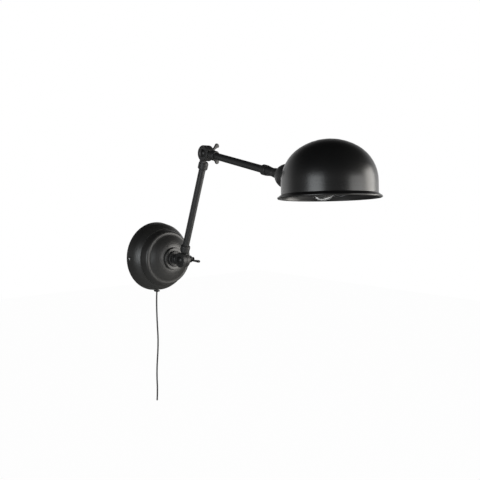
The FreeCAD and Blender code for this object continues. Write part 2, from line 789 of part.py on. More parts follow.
def add_neck(body, side, length_end):
    # A web with a round back, from inside the eye to inside the collar.
    start = lamp.eye_radius * 0.6
    half = lamp.neck_width / 2
    back = root(lamp.eye_thickness * lamp.eye_thickness - half * half) * side
    if side > 0:
        corners = [(0, -half), (back, -half), (back, half, lamp.eye_thickness), (0, half)]
    else:
        corners = [(0, half), (back, half), (back, -half, lamp.eye_thickness), (0, -half)]
    sketch = new_sketch(body, "XY_Plane", shift=start)
    draw_outline(sketch, corners)
    pad(body, sketch, length_end - start)


def add_set_screw_hole(body, height, side):
    sketch = new_sketch(body, "XZ_Plane")
    draw_circle(sketch, 0, height, lamp.set_screw_radius + lamp.socket_clearance)
    cut = drill(body, sketch, collar_radius * 2)
    cut.Reversed = side < 0


def arm_casting(label, place, side):
    # Eye, web and collar in one casting; the tube sits in the collar's socket.
    body = new_body(label, place)
    add_eye(body, side)
    add_neck(body, side, collar_start + lamp.socket_floor / 2)
    edge = collar_round
    outer = collar_radius
    revolve(body, [
        (0, collar_start),
        (outer - edge, collar_start),
        (outer, collar_start + edge, rounding(edge)),
        (outer, collar_end - edge),
        (outer - edge, collar_end, rounding(edge)),
        (tube_hole, collar_end),
        (tube_hole, tube_seat),
        (0, tube_seat),
    ])
    return body


def stem():
    # Flange, neck and eye; the nipple is screwed into its back.
    foot_back = lamp.stem_reach
    foot_front = foot_back - lamp.stem_foot_height
    hole_end = pivot_depth - nipple_end
    neck_start = eye_swing
    edge = lamp.stem_round
    body = new_body("stem", stem_place)
    add_eye(body, -1)
    add_neck(body, -1, neck_start + edge)
    revolve(body, [
        (0, neck_start),
        (lamp.stem_neck_radius - edge, neck_start),
        (lamp.stem_neck_radius, neck_start + edge, rounding(edge)),
        (lamp.stem_neck_radius, foot_front),
        (lamp.stem_foot_radius - edge, foot_front),
        (lamp.stem_foot_radius, foot_front + edge, rounding(edge)),
        (lamp.stem_foot_radius, foot_back),
        (nipple_hole, foot_back),
        (nipple_hole, hole_end),
        (0, hole_end),
    ])
    return body


def set_screw(label, place, height, side):
    # A grub screw in the collar, its point on the tube.
    point = tube_hole
    body = new_body(label, place)
    sketch = new_sketch(body, "XZ_Plane", shift=-point if side > 0 else point + lamp.set_screw_length)
    draw_circle(sketch, 0, height, lamp.set_screw_radius)
    feature = pad(body, sketch, lamp.set_screw_length)
    feature.Reversed = True
    return body


def knuckle_bolt(label, place):
    # Domed head against the -X eye, shank through both eyes, washer and wing nut.
    seat = -lamp.eye_thickness
    return turned(label, place, [
        (0, seat - lamp.bolt_head_height),
        (lamp.bolt_head_radius, seat, dome_curve(lamp.bolt_head_radius, lamp.bolt_head_height)),
        (lamp.bolt_radius, seat),
        (lamp.bolt_radius, bolt_end - lamp.bolt_radius / 4),
        (lamp.bolt_radius * 0.75, bolt_end),
        (0, bolt_end),
    ])


def knuckle_washer(label, place):
    low = lamp.eye_thickness
    high = low + lamp.washer_height
    return turned(label, place, ring_outline(pin_hole, lamp.washer_radius, low, high))


def wing_nut(label, place, turn):
    # A hub with two wings; the turn sets where the wings point.
    seat = lamp.eye_thickness + lamp.washer_height
    top = seat + lamp.hub_height
    body = new_body(label, place.multiply(placed(ORIGIN, ALONG_Z, turn)))
    revolve(body, [
        (pin_hole, seat),
        (lamp.hub_radius, seat),
        (lamp.hub_top_radius, top - lamp.hub_height / 8),
        (lamp.hub_top_radius - lamp.hub_height / 8, top),
        (pin_hole, top),
    ])
    root_in = lamp.bolt_radius + (lamp.hub_top_radius - lamp.bolt_radius) / 2
    slant = lamp.wing_tip * math.sqrt(0.5)
    tip_across = lamp.wing_span / 2 - lamp.wing_tip
    tip_up = seat + lamp.wing_height - lamp.wing_tip
    sketch = new_sketch(body, "XZ_Plane")
    draw_outline(sketch, [
        (root_in, seat + lamp.hub_height / 8),
        (tip_across + slant, tip_up - slant, -lamp.wing_span),
        (tip_across - slant, tip_up + slant, rounding(lamp.wing_tip)),
        (root_in, top - lamp.hub_height / 5, -lamp.wing_span / 2),
    ])
    wing = pad(body, sketch, lamp.wing_thickness, midplane=True)
    pair = body.newObject("PartDesign::PolarPattern", label + "_pair")
    pair.Originals = [wing]
    pair.Axis = (sketch, ["V_Axis"])
    pair.Angle = 360
    pair.Occurrences = 2
    body.Tip = pair
    return body


# ---------------------------------------------------------------- arms


def lower_arm_tube():
    tube_end = lamp.lower_length - tube_seat
    section = ring_outline(lamp.tube_radius - lamp.tube_wall, lamp.tube_radius, tube_seat, tube_end)
    return turned("lower_arm_tube", lower_way, section)


def upper_arm_tube():
    section = ring_outline(lamp.tube_radius - lamp.tube_wall, lamp.tube_radius, tube_seat, tube_front)
    return turned("upper_arm_tube", upper_place, section)


def arm_end_collar():
    edge = collar_round / 2
    outer = end_collar_radius
    return turned("arm_end_collar", upper_place, [
        (tube_hole, lamp.end_collar_start),
        (outer - edge, lamp.end_collar_start),
        (outer, lamp.end_collar_start + edge, rounding(edge)),
        (outer, swivel_face - edge),
        (outer - edge, swivel_face, rounding(edge)),
        (spigot_hole, swivel_face),
        (spigot_hole, tube_front),
        (tube_hole, tube_front),
    ])


# ---------------------------------------------------------------- swivel head


def dome_surface(above, inset):
    # Distance from the elbow to the shade's skin on a line beside the arm's axis.
    curve = lamp.side_curve - inset
    off = above - side_above
    return dome_distance - side_along - root(curve * curve - off * off)


holder_seat = dome_surface(holder_skirt_radius, sized(0)) - lamp.seat_clearance
holder_back = nose_end - lamp.holder_cap_length
holder_front = holder_back + lamp.holder_length
cup_mouth = dome_surface(-lamp.cup_radius, sized(0)) + lamp.cup_sheet


def swivel_stub():
    waist = swivel_face + lamp.stub_waist_start
    front = swivel_face + lamp.stub_front_start
    rear = swivel_face + lamp.seam_width
    return turned("swivel_stub", head_place, [
        (lamp.stub_bore, swivel_face - lamp.spigot_length),
        (spigot_radius, swivel_face - lamp.spigot_length),
        (spigot_radius, swivel_face),
        (lamp.seam_radius, swivel_face),
        (lamp.seam_radius, rear),
        (lamp.stub_rear_radius, rear),
        (lamp.stub_waist_radius, waist),
        (lamp.stub_waist_radius, waist + (front - waist) / 2),
        (lamp.stub_front_radius, front),
        (lamp.stub_front_radius, cup_back),
        (lamp.stub_nose_radius, cup_back),
        (lamp.stub_nose_radius, nose_end),
        (lamp.stub_bore, nose_end),
    ])


def dome_meeting(offset):
    # Where the crown's arc runs into the side's arc, on a skin moved out by the offset.
    share = (lamp.cap_curve + offset) / curve_step
    return side_centre_out * share, cap_centre + side_centre_rise * share


def dome_tool(offset):
    # The dome and skirt as one solid, a little larger than the shade.
    meet_out, meet_up = dome_meeting(offset)
    return turned("dome_tool", shade_place, [
        (0, -lamp.skirt_drop),
        (lamp.shade_radius + offset, -lamp.skirt_drop),
        (lamp.shade_radius + offset, side_centre_up),
        (meet_out, meet_up, lamp.side_curve + offset),
        (0, lamp.shade_top + offset, lamp.cap_curve + offset),
    ])


def socket_cup():
    # A bell and a short cylinder; its mouth is cut to the dome that it stands on.
    inside = lamp.cup_radius - lamp.cup_sheet
    body = turned("socket_cup_blank", head_place, [
        (nose_hole, cup_back),
        (lamp.stub_front_radius, cup_back),
        (lamp.cup_radius, bell_end, lamp.cup_bell_curve),
        (lamp.cup_radius, cup_mouth),
        (inside, cup_mouth),
        (inside, bell_end),
        (lamp.stub_front_radius, cup_back + lamp.cup_sheet * 1.3, -lamp.cup_bell_curve + lamp.cup_sheet),
        (nose_hole, cup_back + lamp.cup_sheet * 1.3),
    ])
    cut = document.addObject("Part::Cut", "socket_cup")
    cut.Label = "socket_cup"
    cut.Base = body
    cut.Tool = dome_tool(lamp.socket_clearance)
    return cut


def lamp_holder():
    bore_floor = holder_front - lamp.bulb_base_length - lamp.bulb_contact_height
    nose_floor = holder_back + lamp.holder_cap_length
    return turned("lamp_holder", head_place, [
        (0, nose_floor),
        (lamp.holder_back_radius, nose_floor),
        (holder_radius, nose_floor + lamp.holder_cap_length / 2),
        (holder_radius, holder_seat),
        (holder_skirt_radius, holder_seat),
        (holder_skirt_radius, holder_front),
        (lamp.holder_bore, holder_front),
        (lamp.holder_bore, bore_floor),
        (0, bore_floor),
    ])


ring_back = dome_surface(-ring_radius, lamp.shade_sheet) + lamp.seat_clearance


def shade_ring():
    bore = holder_skirt_radius + lamp.seat_clearance
    section = ring_outline(bore, ring_radius, ring_back, ring_back + lamp.ring_height)
    return turned("shade_ring", head_place, section)


# ---------------------------------------------------------------- shade


def shade():
    inner = lamp.shade_radius - lamp.shade_sheet
    outer_out, outer_up = dome_meeting(sized(0))
    inner_out, inner_up = dome_meeting(-lamp.shade_sheet)
    bead = lamp.bead_round
    body = turned("shade", shade_place, [
        (inner, -lamp.skirt_drop),
        (bead_radius - bead, -bead_drop),
        (bead_radius, -bead_drop - bead, rounding(bead)),
        (bead_radius + bead, -bead_drop, rounding(bead)),
        (bead_radius, -bead_drop + bead, rounding(bead)),
        (lamp.shade_radius, -lamp.skirt_drop),
        (lamp.shade_radius, side_centre_up),
        (outer_out, outer_up, lamp.side_curve),
        (0, lamp.shade_top, lamp.cap_curve),
        (0, lamp.shade_top - lamp.shade_sheet),
        (inner_out, inner_up, lamp.shade_sheet - lamp.cap_curve),
        (inner, side_centre_up, lamp.shade_sheet - lamp.side_curve),
    ])
    hole = new_sketch(body, "XZ_Plane", turn=lamp.shade_tilt)
    draw_circle(hole, 0, 0, holder_skirt_radius + lamp.seat_clearance)
    drill(body, hole, lamp.shade_top * 2)
    return body


# ---------------------------------------------------------------- bulb

bulb_base_radius = lamp.holder_bore - lamp.thread_gap
bulb_neck_radius = bulb_base_radius - lamp.neck_step
bulb_end = holder_front - lamp.bulb_base_length - lamp.bulb_contact_height
base_start = bulb_end + lamp.bulb_contact_height
base_end = base_start + lamp.bulb_base_length
ball_centre = bulb_end + lamp.bulb_length - lamp.bulb_radius


def bulb_contact():
    section = [
        (0, bulb_end),
        (lamp.bulb_contact_radius * 0.7, bulb_end),
        (lamp.bulb_contact_radius, base_start),
        (0, base_start),
    ]
    return turned("bulb_contact", head_place, section)


def bulb_base():
    # A closed shell with a chamfered end.
    chamfer = bulb_base_radius / 4
    return turned("bulb_base", head_place, [
        (0, base_start),
        (lamp.bulb_contact_radius, base_start),
        (bulb_base_radius - chamfer / 4, base_start + chamfer),
        (bulb_base_radius, base_start + chamfer * 1.2),
        (bulb_base_radius, base_end),
        (0, base_end),
    ])


def glass_corners(inset):
    # Neck and ball; the neck flares tangentially into the ball.
    ball = lamp.bulb_radius - inset
    ball_out = ball * cosine(lamp.bulb_flare)
    ball_up = ball_centre - ball * sine(lamp.bulb_flare)
    return [
        (bulb_neck_radius - inset, base_end),
        (ball_out, ball_up),
        (ball, ball_centre, ball),
        (0, ball_centre + ball, ball),
    ]


def bulb_glass():
    outside = glass_corners(sized(0))
    inside = glass_corners(lamp.bulb_glass)
    return turned("bulb_glass", head_place, [
        outside[0],
        outside[1],
        outside[2],
        outside[3],
        inside[3][:2],
        (inside[2][0], inside[2][1], -inside[2][2]),
        (inside[1][0], inside[1][1], -inside[1][0] * 2),
        inside[0],
    ])


def bulb_mount():
    stem_top = base_end + lamp.bulb_mount_length
    foot = lamp.bulb_mount_radius * 2
    return turned("bulb_mount", head_place, [
        (0, base_end),
        (foot, base_end),
        (lamp.bulb_mount_radius, base_end + foot, -foot),
        (lamp.bulb_mount_radius / 2, stem_top),
        (0, stem_top),
    ])


# ---------------------------------------------------------------- the whole lamp

screw_height = collar_start + lamp.collar_length * 0.45


def lamp_pieces():
    pieces = [wall_bracket(), terminal_block(), canopy()]
    pieces += canopy_screws()
    pieces += [cord_gland(), gland_nut(), cord()]
    pieces += [canopy_boss(), nipple(), lock_washer(), lock_nut(), stem()]
    pieces.append(knuckle_bolt("lower_bolt", lower_bolt_place))
    pieces.append(knuckle_washer("lower_washer", lower_bolt_place))
    pieces.append(wing_nut("lower_wing_nut", lower_bolt_place, 90 + lamp.lower_wings_dip.value))
    pieces.append(arm_casting("lower_arm_foot", lower_foot_place, 1))
    pieces.append(lower_arm_tube())
    head_casting = arm_casting("lower_arm_head", lower_head_place, -1)
    add_set_screw_hole(head_casting, screw_height, 1)
    pieces.append(head_casting)
    pieces.append(set_screw("head_set_screw", lower_head_place, screw_height, 1))
    pieces.append(knuckle_bolt("elbow_bolt", elbow_bolt_place))
    pieces.append(knuckle_washer("elbow_washer", elbow_bolt_place))
    pieces.append(wing_nut("elbow_wing_nut", elbow_bolt_place, 0))
    pieces.append(arm_casting("upper_arm_root", upper_place, 1))
    pieces += [upper_arm_tube(), arm_end_collar()]
    pieces += [swivel_stub(), socket_cup(), lamp_holder(), shade_ring(), shade()]
    pieces += [bulb_contact(), bulb_base(), bulb_glass(), bulb_mount()]
    return pieces


def check_document():
    for item in document.Objects:
        if "Invalid" in item.State or "Error" in item.State:
            raise RuntimeError("%s failed: %s" % (item.Label, item.State))


def check_piece(piece):
    shape = piece.Shape
    if shape.isNull() or not shape.isValid():
        raise RuntimeError("%s has no valid shape" % piece.Label)
    if len(shape.Solids) != 1:
        raise RuntimeError("%s has %d solids" % (piece.Label, len(shape.Solids)))


pieces = lamp_pieces()
document.recompute()
check_document()
for piece in pieces:
    check_piece(piece)

os.makedirs("parts", exist_ok=True)
for piece in pieces:
    piece.Shape.exportStep("parts/%s.step" % piece.Label)
print("%d pieces written" % len(pieces))
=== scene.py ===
import json
import math

import bmesh
import bpy
from mathutils import Matrix, Vector
from mathutils.bvhtree import BVHTree

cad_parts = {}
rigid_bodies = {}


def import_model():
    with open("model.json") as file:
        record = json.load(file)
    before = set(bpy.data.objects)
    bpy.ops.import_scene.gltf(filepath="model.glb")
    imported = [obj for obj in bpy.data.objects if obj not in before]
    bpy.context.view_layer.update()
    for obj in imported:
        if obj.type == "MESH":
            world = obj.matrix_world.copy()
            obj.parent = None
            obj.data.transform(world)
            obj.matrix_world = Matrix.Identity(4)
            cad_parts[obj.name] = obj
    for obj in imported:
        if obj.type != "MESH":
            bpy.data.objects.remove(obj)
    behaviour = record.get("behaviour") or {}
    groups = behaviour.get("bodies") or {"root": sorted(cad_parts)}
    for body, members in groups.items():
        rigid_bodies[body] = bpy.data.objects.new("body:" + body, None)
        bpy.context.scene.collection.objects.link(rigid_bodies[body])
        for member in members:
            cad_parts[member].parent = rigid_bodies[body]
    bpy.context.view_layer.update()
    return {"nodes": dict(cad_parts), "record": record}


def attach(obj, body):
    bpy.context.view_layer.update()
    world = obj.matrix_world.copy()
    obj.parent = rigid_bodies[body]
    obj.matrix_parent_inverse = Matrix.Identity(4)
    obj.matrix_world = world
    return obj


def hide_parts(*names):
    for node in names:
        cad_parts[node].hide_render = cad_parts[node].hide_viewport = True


# Corded wall lamp: stepped canopy, two arms with wing nuts, socket cup and dome shade.
# The wall is the plane y = 0. Pieces are drawn in millimetres, each about its own axis, and
# are set into the lamp's frame in metres.

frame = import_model()
scene = bpy.context.scene
nodes = frame["nodes"]
mm = 0.001
print("frame loaded")


def turnAbout(axis, degrees):
    return Matrix.Rotation(math.radians(degrees), 4, axis)


def moved(x, y, z):
    return Matrix.Translation((x, y, z))


arms = {
    "pivotDepth": 94.0,
    "lowerLength": 220.0,
    "lowerLean": 20.0,
    "upperDroop": 12.0,
    "headSwivel": -2.5,
    "domeDistance": 311.0,
    "shadeTilt": 16.0,
}
# Each way places the axis of a piece in the lamp, with the arms as photographed.
wallWay = turnAbout("X", 90)
stemWay = moved(0, -arms["pivotDepth"], 0) @ turnAbout("X", -90)
lowerWay = moved(0, -arms["pivotDepth"], 0) @ turnAbout("X", arms["lowerLean"])
elbow = lowerWay @ Vector((0, 0, arms["lowerLength"]))
headCastingWay = Matrix.Translation(elbow) @ turnAbout("X", 180 + arms["lowerLean"])
upperWay = Matrix.Translation(elbow) @ turnAbout("X", 90 + arms["upperDroop"])
headWay = upperWay @ turnAbout("Z", arms["headSwivel"])
shadeWay = headWay @ moved(0, 0, arms["domeDistance"]) @ turnAbout("X", -90 - arms["shadeTilt"])
lowerBoltWay = moved(0, -arms["pivotDepth"], 0) @ turnAbout("Y", 90)
elbowBoltWay = Matrix.Translation(elbow) @ turnAbout("Y", 90)


# Angles are in degrees, distances in metres and the sensor in millimetres. originX and
# originY are where the lamp's origin shows in the picture.
cameraSet = {
    "azimuth": -41.2,
    "elevation": 4.65,
    "distance": 1.359,
    "focalPixels": 650.0,
    "imagePixels": 480.0,
    "originX": 156.1,
    "originY": 256.08,
    "sensor": 36.0,
    "clipStart": 0.01,
    "clipEnd": 50,
}


def placeCamera(c):
    az = math.radians(c["azimuth"])
    el = math.radians(c["elevation"])
    right = Vector((math.cos(az), math.sin(az), 0))
    back = Vector((math.sin(az) * math.cos(el), -math.cos(az) * math.cos(el), math.sin(el)))
    up = back.cross(right)
    half = c["imagePixels"] / 2
    scale = c["distance"] / c["focalPixels"]
    spot = back * c["distance"]
    spot -= right * (c["originX"] - half) * scale
    spot += up * (c["originY"] - half) * scale
    data = bpy.data.cameras.new("camera")
    data.sensor_width = c["sensor"]
    data.lens = c["focalPixels"] / c["imagePixels"] * c["sensor"]
    data.clip_start = c["clipStart"]
    data.clip_end = c["clipEnd"]
    camera = bpy.data.objects.new("camera", data)
    scene.collection.objects.link(camera)
    turn = Matrix((right, up, back)).transposed().to_4x4()
    camera.matrix_world = Matrix.Translation(spot) @ turn
    scene.camera = camera
    return right, back


viewRight, viewBack = placeCamera(cameraSet)


class Wire:
    # A socket in a material's tree; sums and products of wires add Math nodes.
    def __init__(self, shop, socket):
        self.shop = shop
        self.socket = socket

    def maths(self, operation, first, second=0.0):
        return self.shop.node("Math", {"operation": operation}, {0: first, 1: second})

    def __add__(self, other):
        return self.maths("ADD", self, other)

    __radd__ = __add__

    def __sub__(self, other):
        return self.maths("SUBTRACT", self, other)

    def __rsub__(self, other):
        return self.maths("SUBTRACT", other, self)

    def __mul__(self, other):
        return self.maths("MULTIPLY", self, other)

    __rmul__ = __mul__

    def atLeast(self, other):
        return self.maths("MAXIMUM", self, other)


class Shop:
    # Adds nodes to one tree.
    def __init__(self, tree):
        self.tree = tree
        tree.nodes.clear()

    def node(self, kind, settings=None, inputs=None, output=0):
        item = self.tree.nodes.new("ShaderNode" + kind)
        for name, value in (settings or {}).items():
            setattr(item, name, value)
        for name, value in (inputs or {}).items():
            if isinstance(value, Wire):
                self.tree.links.new(value.socket, item.inputs[name])
            else:
                item.inputs[name].default_value = value
        return Wire(self, item.outputs[output])

    def noise(self, place, scale, detail=3.0, roughness=0.5):
        inputs = {"Vector": place, "Scale": scale, "Detail": detail, "Roughness": roughness}
        return self.node("TexNoise", None, inputs)

    def mixColours(self, mask, first, second):
        inputs = {"Factor": mask, 6: first, 7: second}
        return self.node("Mix", {"data_type": "RGBA"}, inputs, output=2)

    def smoothStep(self, value, low, high):
        settings = {"interpolation_type": "SMOOTHSTEP"}
        inputs = {"Value": value, "From Min": low, "From Max": high}
        return self.node("MapRange", settings, inputs)

    def along(self, vector, axis):
        # How far a vector reaches along an axis.
        return self.node("VectorMath", {"operation": "DOT_PRODUCT"}, {0: vector, 1: axis}, output=1)

    def objectPlace(self):
        return self.node("TexCoord", None, None, output=3)

    def bump(self, height, distance):
        inputs = {"Height": height, "Distance": distance, "Strength": 1.0}
        return self.node("Bump", None, inputs)


def grey(level, tint=(1.0, 1.0, 1.0)):
    return (level * tint[0], level * tint[1], level * tint[2], 1.0)


def newMaterial(name):
    material = bpy.data.materials.new(name)
    material.use_nodes = True
    return material, Shop(material.node_tree)


# Where the specks of dust in the paint begin and end, and how much of the colour they are.
dustSet = {"coarser": 0.4, "from": 0.55, "to": 0.75, "share": 0.3}


def paint(name, look):
    # Black paint on metal: a fine pebble, a soft unevenness and pale specks of dust.
    material, shop = newMaterial(name)
    place = shop.objectPlace()
    fine = shop.noise(place, look["grain"], 2.0)
    broad = shop.noise(place, look["patches"], 3.0)
    specks = shop.noise(place, look["grain"] * dustSet["coarser"], 4.0, 0.7)
    dust = shop.smoothStep(specks, dustSet["from"], dustSet["to"])
    shadeMask = broad * (1.0 - dustSet["share"]) + dust * dustSet["share"]
    colour = shop.mixColours(shadeMask, look["dark"], look["light"])
    gloss = look["roughness"] + (fine - 0.5) * look["roughSpread"]
    gloss = gloss + (broad - 0.5) * look["roughSpread"]
    height = fine * look["grainShare"] + broad * (1.0 - look["grainShare"])
    if "lines" in look:
        # Faint turning lines around the spun shade
        along = shop.along(place, look["lineAxis"])
        inputs = {"W": along, "Scale": look["lines"], "Detail": 3.0}
        lines = shop.node("TexNoise", {"noise_dimensions": "1D"}, inputs)
        height = height + lines * look["lineShare"]
        gloss = gloss + (lines - 0.5) * look["lineRough"]
    normal = shop.bump(height, look["depth"])
    inputs = {"Base Color": colour, "Roughness": gloss, "Normal": normal}
    inputs["IOR"] = look.get("ior", 1.5)
    surface = shop.node("BsdfPrincipled", None, inputs)
    finishMaterial(shop, surface)
    return material


def finishMaterial(shop, surface):
    out = shop.tree.nodes.new("ShaderNodeOutputMaterial")
    shop.tree.links.new(surface.socket, out.inputs["Surface"])


def plainFinish(name, look):
    # Metal, plastic or rubber with a fine unevenness in colour, gloss and height.
    material, shop = newMaterial(name)
    place = shop.objectPlace()
    fine = shop.noise(place, look["grain"], 3.0)
    colour = shop.mixColours(fine, look["dark"], look["light"])
    gloss = look["roughness"] + (fine - 0.5) * look["roughSpread"]
    normal = shop.bump(fine, look["depth"])
    inputs = {"Base Color": colour, "Roughness": gloss, "Normal": normal}
    inputs["Metallic"] = look.get("metallic", 0.0)
    finishMaterial(shop, shop.node("BsdfPrincipled", None, inputs))
    return material


def clearGlass(name, look):
    material, shop = newMaterial(name)
    fine = shop.noise(shop.objectPlace(), look["grain"])
    inputs = {
        "Base Color": look["tint"],
        "Roughness": look["roughness"] + fine * look["roughSpread"],
        "IOR": look["ior"],
        "Transmission Weight": 1.0,
    }
    finishMaterial(shop, shop.node("BsdfPrincipled", None, inputs))
    return material


shadeAxis = (shadeWay.to_3x3() @ Vector((0, 0, 1))).normalized()
canopyLook = {
    "dark": grey(0.021, (0.98, 1.0, 1.0)), "light": grey(0.030, (1.04, 1.0, 0.90)),
    "roughness": 0.41, "roughSpread": 0.05, "ior": 1.8, "grain": 1500.0, "patches": 45.0,
    "grainShare": 0.75, "depth": 0.00004,
}
armLook = {
    "dark": grey(0.024, (1.0, 1.0, 1.02)), "light": grey(0.036), "ior": 1.6,
    "roughness": 0.45, "roughSpread": 0.08, "grain": 1300.0, "patches": 110.0,
    "grainShare": 0.65, "depth": 0.00009,
}
shadeLook = {
    "dark": grey(0.009, (0.98, 1.0, 1.03)), "light": grey(0.014, (1.02, 1.0, 0.97)),
    "roughness": 0.30, "roughSpread": 0.06, "grain": 1600.0, "patches": 30.0,
    "grainShare": 0.8, "depth": 0.00003, "ior": 1.7,
    "lines": 1500.0, "lineAxis": tuple(shadeAxis), "lineShare": 0.22, "lineRough": 0.10,
}
hardwareLook = {
    "dark": grey(0.010), "light": grey(0.022, (1.0, 0.98, 0.95)),
    "roughness": 0.36, "roughSpread": 0.16, "grain": 1100.0, "patches": 160.0,
    "grainShare": 0.6, "depth": 0.00012,
}
zincLook = {
    "dark": grey(0.46, (0.98, 1.0, 1.03)), "light": grey(0.62), "grain": 400.0,
    "roughness": 0.38, "roughSpread": 0.2, "depth": 0.00004, "metallic": 1.0,
}
screwLook = {
    "dark": grey(0.26), "light": grey(0.40), "grain": 700.0,
    "roughness": 0.34, "roughSpread": 0.15, "depth": 0.00003, "metallic": 1.0,
}
plasticLook = {
    "dark": grey(0.022), "light": grey(0.034), "grain": 1400.0,
    "roughness": 0.48, "roughSpread": 0.12, "depth": 0.00006,
}
whitePlasticLook = {
    "dark": grey(0.72, (1.0, 0.99, 0.96)), "light": grey(0.8), "grain": 900.0,
    "roughness": 0.5, "roughSpread": 0.1, "depth": 0.00004,
}
cordLook = {
    "dark": grey(0.030), "light": grey(0.050), "grain": 1200.0,
    "roughness": 0.50, "roughSpread": 0.12, "depth": 0.00008,
}
glassLook = {
    "tint": (0.96, 0.97, 0.97, 1.0), "grain": 900.0, "roughness": 0.02, "roughSpread": 0.03,
    "ior": 1.45,
}
finishes = {
    "black_paint": paint("armPaint", armLook),
    "canopyPaint": paint("canopyPaint", canopyLook),
    "shade_paint": paint("shadePaint", shadeLook),
    "black_hardware": paint("blackHardware", hardwareLook),
    "zinc_steel": plainFinish("zincSteel", zincLook),
    "screw_steel": plainFinish("screwSteel", screwLook),
    "black_plastic": plainFinish("blackPlastic", plasticLook),
    "white_plastic": plainFinish("whitePlastic", whitePlasticLook),
    "cord_cover": plainFinish("cordCover", cordLook),
    "bulb_glass": clearGlass("bulbGlass", glassLook),
    "bulb_metal": plainFinish("bulbMetal", screwLook),
}
print("finishes made")


# Merging distances are in millimetres, angles in degrees, and rimAngle in radians.
modelSet = {"arcStep": 7, "merge": 0.002, "speck": 0.001, "rimAngle": 0.9, "bevelSteps": 3}


def flat(corner):
    return Vector((corner[0], 0, corner[1]))


def cornerStops(corners):
    # Each corner is (radius, height), (radius, height, curve) where an arc leads to it, or
    # (radius, height, 0, rounding). The result is a list of places, each with the curve of
    # the arc that leads to it: positive to the left of the way, negative to the right.
    stops = []
    for index, corner in enumerate(corners):
        spot = flat(corner)
        if len(corner) < 4:
            stops.append((spot, corner[2] if len(corner) == 3 else 0))
            continue
        wayIn = (spot - flat(corners[index - 1])).normalized()
        wayOut = (flat(corners[(index + 1) % len(corners)]) - spot).normalized()
        setback = corner[3] * math.tan(wayIn.angle(wayOut) / 2)
        side = 1 if wayIn.cross(wayOut).y < 0 else -1
        stops.append((spot - wayIn * setback, 0))
        stops.append((spot + wayOut * setback, side * corner[3]))
    return stops


def drawProfile(bm, corners):
    # Draws the closed profile in local XZ, with its arcs spun.
    stops = cornerStops(corners)
    last = bm.verts.new(stops[0][0])
    for spot, curve in stops[1:] + stops[:1]:
        if curve == 0:
            after = bm.verts.new(spot)
            bm.edges.new((last, after))
            last = after
            continue
        chord = spot - last.co
        side = 1 if curve > 0 else -1
        outwards = Vector((chord.z, 0, -chord.x)).normalized() * side
        reach = math.sqrt(max(curve ** 2 - (chord.length / 2) ** 2, 0))
        centre = last.co + chord / 2 - outwards * reach
        angle = 2 * math.asin(min(chord.length / 2 / abs(curve), 1.0))
        steps = max(3, round(math.degrees(angle) / modelSet["arcStep"]))
        made = bmesh.ops.spin(
            bm, geom=[last], cent=centre, axis=(0, -1, 0), angle=angle * side, steps=steps)
        last = [item for item in made["geom_last"] if isinstance(item, bmesh.types.BMVert)][0]
    bmesh.ops.remove_doubles(bm, verts=bm.verts[:], dist=modelSet["merge"])


def newTurned(corners, steps=96):
    # A profile turned about its own Z.
    bm = bmesh.new()
    drawProfile(bm, corners)
    geom = bm.verts[:] + bm.edges[:]
    bmesh.ops.spin(
        bm, geom=geom, cent=(0, 0, 0), axis=(0, 0, 1), angle=2 * math.pi, steps=steps, use_merge=True)
    bmesh.ops.remove_doubles(bm, verts=bm.verts[:], dist=modelSet["merge"])
    bmesh.ops.dissolve_degenerate(bm, edges=bm.edges[:], dist=modelSet["speck"])
    bmesh.ops.recalc_face_normals(bm, faces=bm.faces[:])
    return bm


def newPlate(corners, thickness, edge):
    # A closed outline in local XZ, thickened along Y on both sides, with softened edges.
    bm = bmesh.new()
    drawProfile(bm, corners)
    face = bmesh.ops.contextual_create(bm, geom=bm.edges[:])["faces"]
    made = bmesh.ops.extrude_face_region(bm, geom=face)["geom"]
    raised = [item for item in made if isinstance(item, bmesh.types.BMVert)]
    bmesh.ops.translate(bm, verts=raised, vec=(0, thickness, 0))
    bmesh.ops.translate(bm, verts=bm.verts[:], vec=(0, -thickness / 2, 0))
    bmesh.ops.recalc_face_normals(bm, faces=bm.faces[:])
    rims = [item for item in bm.edges if item.calc_face_angle(0) > modelSet["rimAngle"]]
    bmesh.ops.bevel(
        bm, geom=rims, offset=edge, segments=modelSet["bevelSteps"], profile=0.5, affect="EDGES",
        material=-1, clamp_overlap=True)
    bmesh.ops.recalc_face_normals(bm, faces=bm.faces[:])
    return bm


def newWeb(side, start, end, width, thickness):
    # A bar with a round back and a flat front in the plane x = 0.
    bm = bmesh.new()
    bmesh.ops.create_circle(bm, cap_ends=True, radius=thickness, segments=48)
    cuts = (
        ((0, 0, 0), (-side, 0, 0)),
        ((0, width / 2, 0), (0, 1, 0)),
        ((0, -width / 2, 0), (0, -1, 0)),
    )
    for spot, way in cuts:
        geom = bm.verts[:] + bm.edges[:] + bm.faces[:]
        bmesh.ops.bisect_plane(bm, geom=geom, plane_co=spot, plane_no=way, clear_outer=True)
    made = bmesh.ops.extrude_face_region(bm, geom=bm.faces[:])["geom"]
    raised = [item for item in made if isinstance(item, bmesh.types.BMVert)]
    bmesh.ops.translate(bm, verts=raised, vec=(0, 0, end - start))
    bmesh.ops.translate(bm, verts=bm.verts[:], vec=(0, 0, start))
    bmesh.ops.recalc_face_normals(bm, faces=bm.faces[:])
    return bm


def joinInto(bm, other, way=None):
    # Adds one bmesh to another, set by a matrix.
    if way is not None:
        bmesh.ops.transform(other, matrix=way, verts=other.verts[:])
    carrier = bpy.data.meshes.new("carrier")
    other.to_mesh(carrier)
    other.free()
    bm.from_mesh(carrier)
    bpy.data.meshes.remove(carrier)


